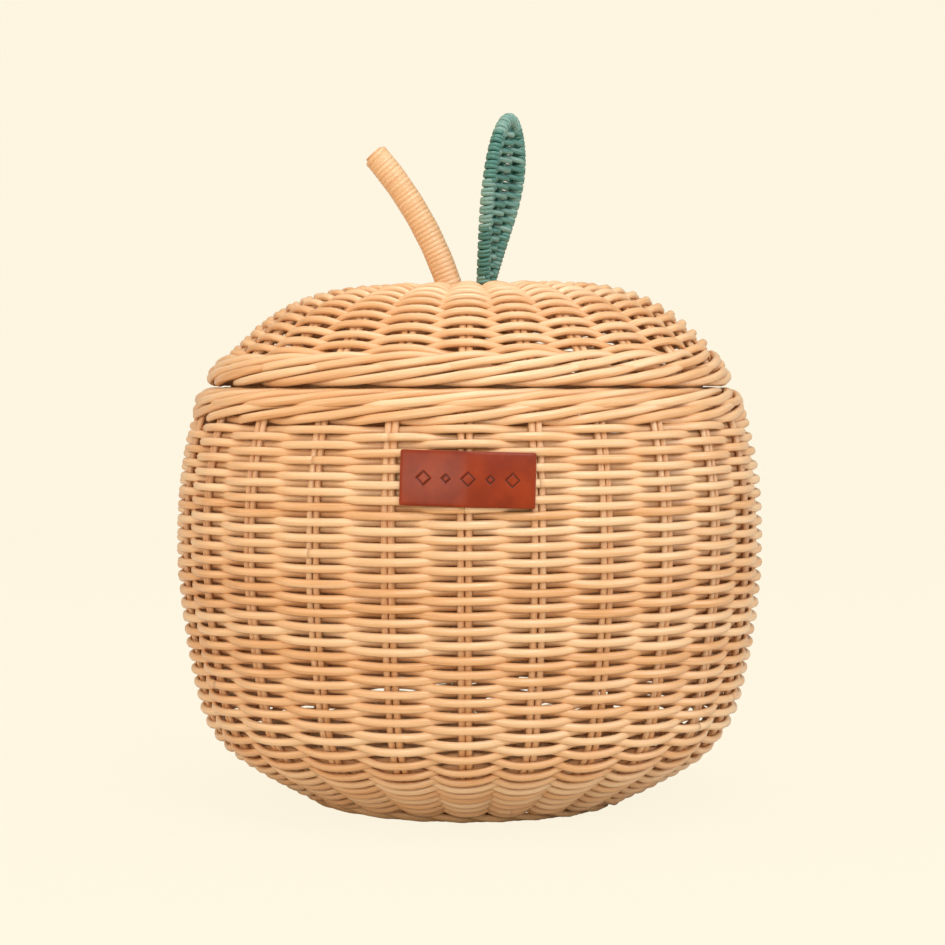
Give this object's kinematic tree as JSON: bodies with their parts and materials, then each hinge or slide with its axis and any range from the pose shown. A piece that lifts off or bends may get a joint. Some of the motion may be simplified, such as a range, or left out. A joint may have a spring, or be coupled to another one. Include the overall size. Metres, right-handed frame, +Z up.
{
  "type": "lidded woven basket",
  "caption": "Apple-shaped round basket of woven cane with a lift-off domed lid, curved wrapped stem, woven leaf and leather label, for holding fruit.",
  "frame": {"origin": "on the floor, under the middle of the round basket", "axes": "+Z up through the middle of the lid, -Y towards the leather label at the front, +X to the right seen from the front"},
  "size_m": [0.242, 0.2439, 0.285],
  "materials": {
    "cane": "satin",
    "cane_shaded": "satin",
    "dyed_cane": "satin, dyed blue green",
    "label_leather": "smooth, lightly creased"
  },
  "bodies": {
    "basket": {"base_weave": "cane_shaded", "foot_border": "cane_shaded", "stakes_crossing_under": "cane", "stakes_crossing_over": "cane", "odd_stake_pair": "cane", "side_weave": "cane", "shoulder_wale": "cane", "rim_border": "cane", "leather_label": "label_leather"},
    "lid": {"lid_stakes_crossing_under": "cane", "lid_stakes_crossing_over": "cane", "lid_odd_stake_pair": "cane", "lid_weave": "cane", "lid_wale": "cane", "lid_border": "cane", "lid_flange_stakes": "cane_shaded", "lid_flange_weave": "cane_shaded", "stem_core": "cane_shaded", "stem_wrapping": "cane", "stem_binding": "cane_shaded", "leaf_edge_rod": "dyed_cane", "leaf_midrib": "dyed_cane", "leaf_weave": "dyed_cane", "leaf_binding": "dyed_cane"}
  },
  "joints": [
    {"name": "lid_lift", "type": "slide", "parent": "basket", "child": "lid", "axis": [0, 0, 1], "range_m": [0, 0.15]}
  ]
}
